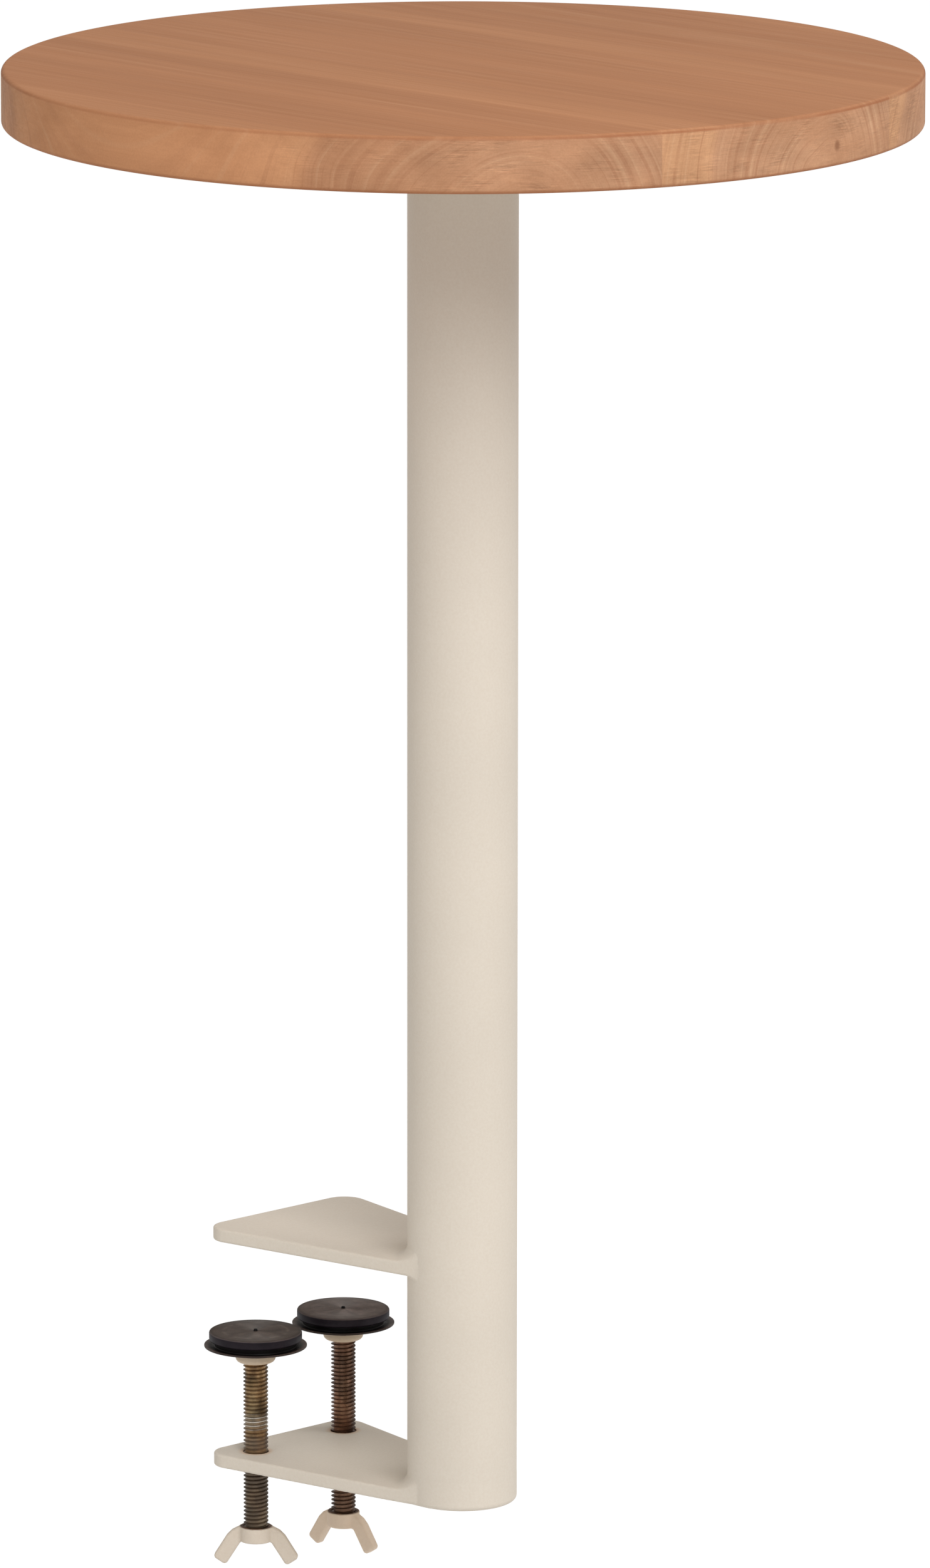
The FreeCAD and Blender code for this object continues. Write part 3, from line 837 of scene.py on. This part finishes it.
def off_pith(tree, place, pith, shift):
    """Distance from a pith line along X, which wanders a little along the board."""
    inputs = {"Vector": scaled(tree, place, (1.6, 12, 12), (shift, shift, 0)), "Scale": 1.0, "Detail": 2.0}
    wander = add(tree, "TexNoise", inputs).outputs["Color"]
    wandered = scaled(tree, wander, (0, PITH_WANDER, PITH_WANDER), place)
    middle = [-value * MM - PITH_WANDER / 2 for value in pith]
    return length(tree, scaled(tree, wandered, (0, 1, 1), (0, *middle)))


def off_knot(tree, place, knot):
    """Distance from the middle of a knot, which is a little taller than wide."""
    middle = (-knot[0] * MM, -knot[1] * MM, -knot[2] * MM * KNOT_HEIGHT)
    return length(tree, scaled(tree, place, (1, 1, KNOT_HEIGHT), middle))


def with_rings(tree, colour, distance, clear):
    """Growth rings of uneven width on a colour, as clear as a share says."""
    inputs = {"W": distance, "Scale": RING_SCALE, "Detail": 4.0, "Roughness": 0.7}
    rings = add(tree, "TexNoise", inputs, noise_dimensions="1D").outputs["Fac"]
    colour = mixed(tree, times(tree, span(tree, rings, 0.5, 0.34), clear), colour, LATE)
    return mixed(tree, times(tree, span(tree, rings, 0.58, 0.7), clear), colour, EARLY)


def with_grain(tree, colour, place, shift, clouds, fibres):
    """Broad soft clouds, streaks and fibres along the grain, and a fine speckle on a colour."""
    streaks = stretched(tree, place, (5, 120, 120), (shift, shift, 0), 4.0)
    colour = tinted(tree, colour, clouds, 0.94, 1.05)
    colour = tinted(tree, colour, streaks, 0.97, 1.025)
    colour = tinted(tree, colour, fibres, 0.97, 1.015)
    return tinted(tree, colour, noise(tree, place, 1300.0, 2.0), 0.965, 1.035)


def with_sanding(tree, colour, place, shift, end_grain, rim):
    """Sanding marks round the rim where end grain shows, and blots on the rim."""
    sanded = stretched(tree, place, (110, 110, 1900), detail=4.0, roughness=0.7)
    scuffs = stretched(tree, place, (70, 70, 160), (shift, 0, shift), 2.0)
    marks = times(tree, end_grain, span(tree, scuffs, 0.45, 0.65, 0.2, 1.0))
    colour = tinted(tree, colour, sanded, 0.68, 1.2, (0.3, 0.68), marks)
    blots = stretched(tree, place, (45, 45, 60), (0, shift, shift))
    return tinted(tree, colour, blots, 0.87, 1.08, share=rim)


def with_oil_and_shade(tree, colour, upward, clouds):
    """Oil that has gathered here and there along the rim's upper edge, and painted shade that darkens its
    downward-facing lower edge.
    """
    gathered = span(tree, clouds, 0.35, 0.6, 0.25, 0.75)
    upper = between(tree, upward, (0.05, 0.3, 0.5, 0.85))
    colour = mixed(tree, times(tree, upper, gathered), colour, OIL_AND_SHADE)
    # painted shade: the rim's downward-facing lower edge is darkened
    return mixed(tree, span(tree, upward, -0.1, -0.6, 0.0, 0.5), colour, OIL_AND_SHADE)


def wood(name, pith, sap_radius, shift, knot=None):
    """Sawn wood along X: rings about a pith, pale sapwood outside a radius, fibres and a sanded rim."""
    material, tree, shader, place = new_material(name)
    normal = facing(tree)
    endwise = calc(tree, "ABSOLUTE", normal[0])
    upright = calc(tree, "SUBTRACT", 1.0, calc(tree, "ABSOLUTE", normal[2]), clamp=True)
    end_grain = times(tree, upright, span(tree, endwise, 0.25, 0.75))
    across = span(tree, endwise, 0.15, 0.5, 0.3, 1.0)
    patches = stretched(tree, place, (24, 24, 40), (shift, shift, 0), 2.0)
    clouds = stretched(tree, place, (3, 34, 34), (shift, 0, shift))
    fibres = stretched(tree, place, (11, 600, 600), (0, 0, shift), 4.0, 0.6)
    distance = off_pith(tree, place, pith, shift)
    if knot:
        apart = off_knot(tree, place, knot)
        push = span_mm(tree, apart, KNOT_REACH, 0.0, KNOT_PUSH, smooth=True)
        distance = calc(tree, "SUBTRACT", distance, push)
    # heartwood with paler end grain, and sapwood
    patchy = times(tree, end_grain, span(tree, patches, 0.3, 0.7, 0.6, 1.0))
    colour = mixed(tree, patchy, HEART, END_GRAIN)
    sap = span_mm(tree, distance, sap_radius - SAP_EDGE, sap_radius + SAP_EDGE, smooth=True)
    pale = mixed(tree, span(tree, endwise, 0.3, 0.75), SIDE_SAP, SAP)
    colour = mixed(tree, times(tree, sap, span(tree, upright, 0.0, 1.0, 0.3, 0.9)), colour, pale)
    # the rings are clearer on the rim than on the faces, and faint in places
    on_rim = calc(tree, "MULTIPLY_ADD", across, RINGS_ON_RIM, -RINGS_ON_FACES)
    shown = calc(tree, "MULTIPLY_ADD", upright, on_rim, RINGS_ON_FACES)
    clear = times(tree, shown, span(tree, patches, 0.38, 0.62, 0.35, 1.0))
    colour = with_rings(tree, colour, distance, clear)
    colour = with_grain(tree, colour, place, shift, clouds, fibres)
    colour = with_sanding(tree, colour, place, shift, end_grain, times(tree, upright, across))
    if knot:
        colour = mixed(tree, span_mm(tree, apart, *KNOT_CORE, 0.75, smooth=True), colour, KNOT)
    colour = with_oil_and_shade(tree, colour, normal[2], clouds)
    roughness = span(tree, fibres, 0.3, 0.7, 0.68, 0.56)
    fill(tree, shader, {"Base Color": colour, "Roughness": roughness, "Specular IOR Level": 0.12})
    bump(tree, shader, fibres, 0.1, 0.0004)
    return material


# Paint, and rust where threads have rubbed it away. Radii are in millimetres, from none to full

PAINT = (0.767, 0.695, 0.597)
RUST_HALO = (0.72, 0.47, 0.28)
RUST_HALO_RADII = (8.8, 5.8)
RUST_LINE = (0.2, 0.09, 0.04)
RUST_LINE_RADII = (6.0, 5.6)
RUST_WANDER = 1.2 * MM
BARE_RADII = (7.8, 6.8)
BARE_HEIGHTS = (-0.3, 0.1)
BARE_WANDER = 0.6 * MM
RUST_STOPS = ((0.3, (0.035, 0.016, 0.009)), (0.6, (0.13, 0.06, 0.03)), (0.8, (0.3, 0.2, 0.14)))


def paint(name, rust=None, tint=(1.0, 1.0, 1.0)):
    """Matt powder coat. rust is a function that puts rust on a colour at a place."""
    material, tree, shader, place = new_material(name)
    clouds = noise(tree, place, 14.0, 4.0)
    base = np.multiply(PAINT, tint)
    colour = ramp(tree, clouds, [(0.3, base * 0.97), (0.7, base * 1.03)])
    colour = tinted(tree, colour, noise(tree, place, 900.0), 0.98, 1.015)
    if rust:
        colour = rust(tree, colour, place)
    roughness = span(tree, clouds, 0.2, 0.8, 0.5, 0.6)
    fill(tree, shader, {"Base Color": colour, "Roughness": roughness, "Specular IOR Level": 0.3})
    bump(tree, shader, noise(tree, place, 520.0, 2.0), 0.06, 0.0004)
    return material


def rust_at_holes(tree, colour, place):
    """A thin rusty line and a warm halo round both tapped holes."""
    mirrored = vector_calc(tree, "ABSOLUTE", place)[0]
    radius = length(tree, from_screw(tree, mirrored, "rear"))
    uneven = calc(tree, "SUBTRACT", noise(tree, place, 300.0), 0.5)
    radius = calc(tree, "MULTIPLY_ADD", uneven, RUST_WANDER, radius)
    halo = span_mm(tree, radius, *RUST_HALO_RADII, 0.6, smooth=True)
    colour = mixed(tree, halo, colour, RUST_HALO)
    return mixed(tree, span_mm(tree, radius, *RUST_LINE_RADII, smooth=True), colour, RUST_LINE)


def rust_on_hub(side):
    """Bare rusty metal on the top face of a wing nut's hub."""

    def rust(tree, colour, place):
        radius = length(tree, from_screw(tree, place, side))
        uneven = noise(tree, place, 420.0)
        height = calc(tree, "MULTIPLY_ADD", uneven, BARE_WANDER, parts_of(tree, place)[2])
        near_top = span_mm(tree, height, *[HUB_TOP[side] + rise for rise in BARE_HEIGHTS])
        bare = times(tree, near_top, span_mm(tree, radius, *BARE_RADII))
        return mixed(tree, bare, colour, ramp(tree, uneven, RUST_STOPS))

    return rust


# Rod steel, with heights in millimetres over the tapped jaw's upper face

ROD_TONES = {
    "front": {
        "stops": ((0.3, (0.14, 0.078, 0.036)), (0.52, (0.31, 0.19, 0.088)), (0.72, (0.46, 0.33, 0.185))),
        "stain": (0.21, 0.165, 0.085),
        "lower": (0.1, 0.08, 0.063),
    },
    "rear": {
        "stops": ((0.3, (0.14, 0.058, 0.03)), (0.52, (0.25, 0.125, 0.07)), (0.72, (0.37, 0.23, 0.145))),
        "stain": (0.2, 0.115, 0.075),
        "lower": (0.15, 0.085, 0.052),
    },
}
CREST_TARNISH_AND_SHADE = (0.045, 0.024, 0.013)
DULL_BAND = (0.19, 0.155, 0.135)
RUBBED_BAND = (0.17, 0.155, 0.135)
BRIGHT = (0.8, 0.76, 0.69)
LOWER_HEIGHTS = (1.0, -7.0)
DULL_HEIGHTS = (-0.5, 2.5, 5.5, 9.0)
RUBBED_HEIGHTS = (9.5, 13.0, 16.0, 18.5)


def rod_steel(name, tones, worn):
    """Tarnished threads whose crests are painted dark, partly tarnish and partly painted shade below them.
    A worn rod has a dull band, and over it crests rubbed bright.
    """
    material, tree, shader, place = new_material(name)
    height = calc(tree, "ADD", parts_of(tree, place)[2], MOUTH * MM)
    crest = add(tree, "Attribute", {}, attribute_name="crest").outputs["Fac"]
    blotch = noise(tree, scaled(tree, place, (1, 1, 0.6)), 160.0, 4.0, 0.6)
    colour = ramp(tree, blotch, tones["stops"])
    stained = noise(tree, scaled(tree, place, (1, 1, 0.7)), 62.0, 3.0, 0.6)
    colour = mixed(tree, span(tree, stained, 0.46, 0.6, 0.0, 0.6), colour, tones["stain"])
    smudges = noise(tree, scaled(tree, place, (1, 1, 1.6)), 75.0, 3.0, 0.6)
    colour = tinted(tree, colour, smudges, 0.42, 1.08, (0.36, 0.56))
    colour = mixed(tree, span_mm(tree, height, *LOWER_HEIGHTS, 0.75), colour, tones["lower"])
    # the crests are painted dark: partly tarnish, partly painted shade that falls below each crest
    colour = mixed(tree, span(tree, crest, 0.5, 0.95, 0.0, 0.6), colour, CREST_TARNISH_AND_SHADE)
    if worn:
        dull = between(tree, height, DULL_HEIGHTS, MM)
        colour = mixed(tree, times(tree, dull, 0.5), colour, DULL_BAND)
        rubbed = between(tree, height, RUBBED_HEIGHTS, MM)
        colour = mixed(tree, times(tree, rubbed, 0.45), colour, RUBBED_BAND)
        broken = times(tree, rubbed, span(tree, blotch, 0.34, 0.5))
        colour = mixed(tree, times(tree, broken, span(tree, crest, 0.3, 0.8)), colour, BRIGHT)
    roughness = span(tree, blotch, 0.3, 0.7, 0.5, 0.3)
    fill(tree, shader, {"Base Color": colour, "Roughness": roughness, "Metallic": 0.7})
    bump(tree, shader, noise(tree, place, 900.0), 0.25, 0.0003)
    return material


# Rubber, plastic and zinc. Radii are in millimetres, from none to full

FACE_DULL = (0.077, 0.056, 0.045)
FACE_BRIGHT = (0.12, 0.09, 0.073)
FACE_LINE = (0.2, 0.155, 0.13)
FACE_LINE_RADII = (13.4, 14.5, 14.5, 15.6)
PAINTED_SPOKE_RADII = (16.0, 9.0)
MIDDLE_RADII = (15.2, 13.8)
INNER_RADII = (19.9, 18.4)
EDGE_RADII = (17.0, 19.0)
PIP_RADII = (1.3, 1.0)
CAP_SIDE_STOPS = ((0.3, (0.009, 0.0065, 0.0095)), (0.7, (0.02, 0.0145, 0.0195)))
CAP_EDGE_WEAR_AND_HIGHLIGHT = (0.125, 0.1, 0.1)
NEAR_BLACK = (0.004, 0.003, 0.003)
PLASTIC_STOPS = ((0.3, (0.022, 0.014, 0.012)), (0.7, (0.04, 0.027, 0.022)))
UNDER_CAP_SHADE_RADII = (21.5, 19.2)
RIM_SHEEN = (0.13, 0.092, 0.08)
RIM_SHEEN_RADII = (20.2, 22.4)
ZINC_STOPS = ((0.3, (0.42, 0.41, 0.38)), (0.7, (0.6, 0.59, 0.56)))


def turned_face(tree, place, outward, radius, rings, painted_light_level):
    """The colour of a cap's face: turned rings, painted spokes of highlight and shade, scuffs and a pale
    line round the middle.
    """
    stops = [(0.3, np.multiply(FACE_DULL, painted_light_level)), (0.7, np.multiply(FACE_BRIGHT, painted_light_level))]
    colour = ramp(tree, rings, stops)
    # painted spokes of highlight and shade spread from the pip in the middle, and scuffs lie all over the
    # face
    painted_spokes = noise(tree, vector_calc(tree, "NORMALIZE", outward)[0], 1.7, 2.0)
    colour = tinted(tree, colour, painted_spokes, 0.68, 1.35, (0.32, 0.68), span_mm(tree, radius, *PAINTED_SPOKE_RADII))
    scuffs = noise(tree, place, 230.0, 4.0, 0.6)
    colour = tinted(tree, colour, scuffs, 0.8, 1.18)
    # a broken pale line parts the middle from a darker band
    colour = tinted(tree, colour, span_mm(tree, radius, *MIDDLE_RADII), 0.88, 1.0, (0.2, 0.8))
    inner = span_mm(tree, radius, *INNER_RADII, smooth=True)
    colour = tinted(tree, colour, inner, 0.7, 1.0, (0.0, 1.0))
    line = between(tree, radius, FACE_LINE_RADII, MM)
    return mixed(tree, times(tree, line, span(tree, scuffs, 0.42, 0.62, 0.0, 0.55)), colour, FACE_LINE)


def turned_rubber(name, side, painted_light_level):
    """A black cap whose face shows the fine rings of turning, with a bluish side."""
    material, tree, shader, place = new_material(name)
    outward = from_screw(tree, place, side)
    radius = length(tree, outward)
    along_radius = add(tree, "CombineXYZ", {0: radius}).outputs[0]
    rings = noise(tree, along_radius, 2600.0, 3.0, 0.7)
    clouds = noise(tree, place, 120.0, 4.0)
    upward = facing(tree)[2]
    face = turned_face(tree, place, outward, radius, rings, painted_light_level)
    colour = mixed(tree, span(tree, upward, 0.3, 0.9), ramp(tree, clouds, CAP_SIDE_STOPS), face)
    # the rounded edge is rubbed grey and painted with a highlight, and the pip is black
    edge = between(tree, upward, (0.25, 0.55, 0.85, 0.98))
    rubbed = times(tree, edge, span(tree, clouds, 0.3, 0.7, 0.35, 0.8))
    colour = mixed(tree, times(tree, rubbed, span_mm(tree, radius, *EDGE_RADII)), colour, CAP_EDGE_WEAR_AND_HIGHLIGHT)
    colour = mixed(tree, span_mm(tree, radius, *PIP_RADII), colour, NEAR_BLACK)
    roughness = span(tree, clouds, 0.3, 0.7, 0.46, 0.38)
    tangent = add(tree, "Tangent", {}, direction_type="RADIAL", axis="Z").outputs[0]
    fill(tree, shader, {"Base Color": colour, "Roughness": roughness, "Specular IOR Level": 0.12})
    fill(tree, shader, {"Anisotropic": 0.75, "Tangent": tangent})
    bump(tree, shader, rings, 0.12, 0.0003)
    return material


def moulded_plastic(name, side):
    """Near-black plastic, a little brown at the rim, painted black under the cap as painted shade, with a
    painted sheen on the rim's upper face.
    """
    material, tree, shader, place = new_material(name)
    radius = length(tree, from_screw(tree, place, side))
    clouds = noise(tree, place, 150.0, 4.0)
    colour = ramp(tree, clouds, PLASTIC_STOPS)
    # painted shade: the saucer goes black under the cap's overhang
    colour = mixed(tree, span_mm(tree, radius, *UNDER_CAP_SHADE_RADII, smooth=True), colour, NEAR_BLACK)
    # painted sheen: the rim's upper face is lightened
    on_rim = span_mm(tree, radius, *RIM_SHEEN_RADII, smooth=True)
    sheen_share = times(tree, span(tree, facing(tree)[2], 0.3, 0.9), on_rim)
    colour = mixed(tree, times(tree, sheen_share, span(tree, clouds, 0.3, 0.7, 0.55, 0.95)), colour, RIM_SHEEN)
    roughness = span(tree, clouds, 0.3, 0.7, 0.5, 0.4)
    fill(tree, shader, {"Base Color": colour, "Roughness": roughness, "Specular IOR Level": 0.2})
    bump(tree, shader, noise(tree, place, 700.0, 2.0), 0.08, 0.0003)
    return material


def zinc(name):
    """Dull zinc plating with small crystals."""
    material, tree, shader, place = new_material(name)
    grains = noise(tree, place, 700.0, 4.0, 0.6)
    colour = ramp(tree, grains, ZINC_STOPS)
    roughness = span(tree, grains, 0.3, 0.7, 0.5, 0.35)
    fill(tree, shader, {"Base Color": colour, "Roughness": roughness, "Metallic": 0.9})
    bump(tree, shader, grains, 0.1, 0.0002)
    return material


# Stage, light and camera

FLOOR_HEIGHT = -900.0
FLOOR_REACH = 60000.0
FLOOR_MATT = (0.9, 0.9, 0.9, 1)
FLOOR_SEEN = (0.35, 0.35, 0.35, 1)
FLOOR_GLOW = 0.85
WORLD_WARM = (1, 0.975, 0.93, 1)
WORLD_LIGHT = 0.47
LAMP_AIM = (0.106, 0, 0.25)
COOL = (1, 1.005, 1.03)
WHITE = (1, 1, 1)
# name, place in metres, size in metres, power in watts, colour
LAMPS = (
    ("key", (3.04, -1.27, 2.66), 2.2, 73, COOL),
    ("side", (2.57, 1.82, 2.82), 2.2, 27, COOL),
    ("fill", (0.2, -3.5, 2.19), 2.4, 14, WHITE),
)
CAMERA_PLACE = (3.9473, -3.6386, 1.3236)
CAMERA_FORWARD = (-0.71056, 0.67334, -0.20426)
CAMERA_ROLL = math.radians(-0.051)
CAMERA_LENS = 283.2
CAMERA_SENSOR = 36
CAMERA_RANGE = 200


def make_floor():
    """A wide pale floor, well below the clamp as under a railing."""
    ways = ((-1, -1), (1, -1), (1, 1), (-1, 1))
    points = [(x * FLOOR_REACH, y * FLOOR_REACH, FLOOR_HEIGHT) for x, y in ways]
    floor = new_piece("floor", points, [(0, 1, 2, 3)])
    material = bpy.data.materials.new("pale_floor")
    tree, surface = empty_tree(material)
    rays = add(tree, "LightPath", {}).outputs
    seen = calc(tree, "MAXIMUM", rays["Is Camera Ray"], rays["Is Glossy Ray"])
    seen = calc(tree, "MAXIMUM", seen, rays["Is Transmission Ray"])
    matt = add(tree, "BsdfDiffuse", {"Color": FLOOR_MATT}).outputs[0]
    faint = add(tree, "BsdfDiffuse", {"Color": FLOOR_SEEN}).outputs[0]
    white = add(tree, "Emission", {"Color": (*WHITE, 1), "Strength": FLOOR_GLOW}).outputs[0]
    shown = add(tree, "AddShader", {0: faint, 1: white}).outputs[0]
    tree.links.new(add(tree, "MixShader", {0: seen, 1: matt, 2: shown}).outputs[0], surface)
    floor.data.materials.append(material)


def make_world():
    """Soft warm light from all round, and a white background."""
    world = bpy.data.worlds.new("studio")
    bpy.context.scene.world = world
    tree, surface = empty_tree(world, "World")
    seen = add(tree, "LightPath", {}).outputs["Is Camera Ray"]
    soft = add(tree, "Background", {"Color": WORLD_WARM, "Strength": WORLD_LIGHT}).outputs[0]
    white = add(tree, "Background", {"Color": (*WHITE, 1), "Strength": 1.0}).outputs[0]
    tree.links.new(add(tree, "MixShader", {0: seen, 1: soft, 2: white}).outputs[0], surface)


def stand(name, data, place, rotation):
    """An object for a lamp or the camera, at its place."""
    item = bpy.data.objects.new(name, data)
    item.location = place
    item.rotation_mode = "QUATERNION"
    item.rotation_quaternion = rotation
    bpy.context.scene.collection.objects.link(item)
    return item


def make_lamp(name, place, size, power, colour):
    """A round soft lamp that points at the table."""
    lamp = bpy.data.lights.new(name, "AREA")
    lamp.shape = "DISK"
    lamp.size = size
    lamp.energy = power
    lamp.color = colour
    stand(name, lamp, place, (Vector(LAMP_AIM) - Vector(place)).to_track_quat("-Z", "Y"))


def make_camera():
    """The camera at the photograph's viewing angle."""
    camera = bpy.data.cameras.new("camera")
    camera.sensor_width = CAMERA_SENSOR
    camera.lens = CAMERA_LENS
    camera.clip_end = CAMERA_RANGE
    forward = Vector(CAMERA_FORWARD).normalized()
    rotation = Quaternion(forward, CAMERA_ROLL) @ forward.to_track_quat("-Z", "Y")
    bpy.context.scene.camera = stand("camera", camera, CAMERA_PLACE, rotation)


# The scene

COLLAR_TINT = (0.98, 0.885, 0.78)
# the two nuts' one paint is tinted apart per side: painted light and shade between the copies
NUT_PAINTED_LIGHT = {"front": (0.948, 0.918, 0.893), "rear": (1.05, 0.945, 0.865)}
# the caps' faces are painted lighter or darker per side: painted light, the rear one brightened against the
# shade it lies in
FACE_PAINTED_LIGHT = {"front": (0.86, 0.87, 0.9), "rear": (1.45, 1.5, 1.66)}

make_camera()
make_floor()
make_world()
for lamp in LAMPS:
    make_lamp(*lamp)

coat = paint("paint")
staves = {
    "front_stave": wood("front_wood", pith=(-118, 506), sap_radius=62, shift=0.0),
    "middle_stave": wood("middle_wood", pith=(20, 508), sap_radius=62, shift=3.7, knot=(303.8, 31, 521.5)),
    "rear_stave": wood("rear_wood", pith=(140, 500), sap_radius=60, shift=7.9),
}
make_staves(staves)
make_post(coat)
make_jaw("fixed_jaw", fixed_jaw_field, -SKIN_BELOW, PLATE + SKIN_ABOVE, coat)
rubbed_coat = paint("tapped_paint", rust_at_holes)
make_jaw("tapped_jaw", tapped_jaw_field, -MOUTH - PLATE, -MOUTH + SKIN_ABOVE, rubbed_coat)
collar_coat = paint("collar_paint", tint=COLLAR_TINT)
for side in SIDES:
    make_rod(side, rod_steel(f"{side}_steel", ROD_TONES[side], worn=side == "front"))
    make_wing_nut(side, paint(f"{side}_nut_paint", rust_on_hub(side), NUT_PAINTED_LIGHT[side]))
    rubber = turned_rubber(f"{side}_rubber", side, FACE_PAINTED_LIGHT[side])
    make_pad(side, rubber, moulded_plastic(f"{side}_plastic", side))
    make_collar(side, collar_coat)
for node in ("top_flange", "flange_weld"):
    frame["nodes"][node].data.materials.clear()
    frame["nodes"][node].data.materials.append(coat)
make_fixings(zinc("zinc"))

bpy.context.scene.view_settings.view_transform = "Standard"
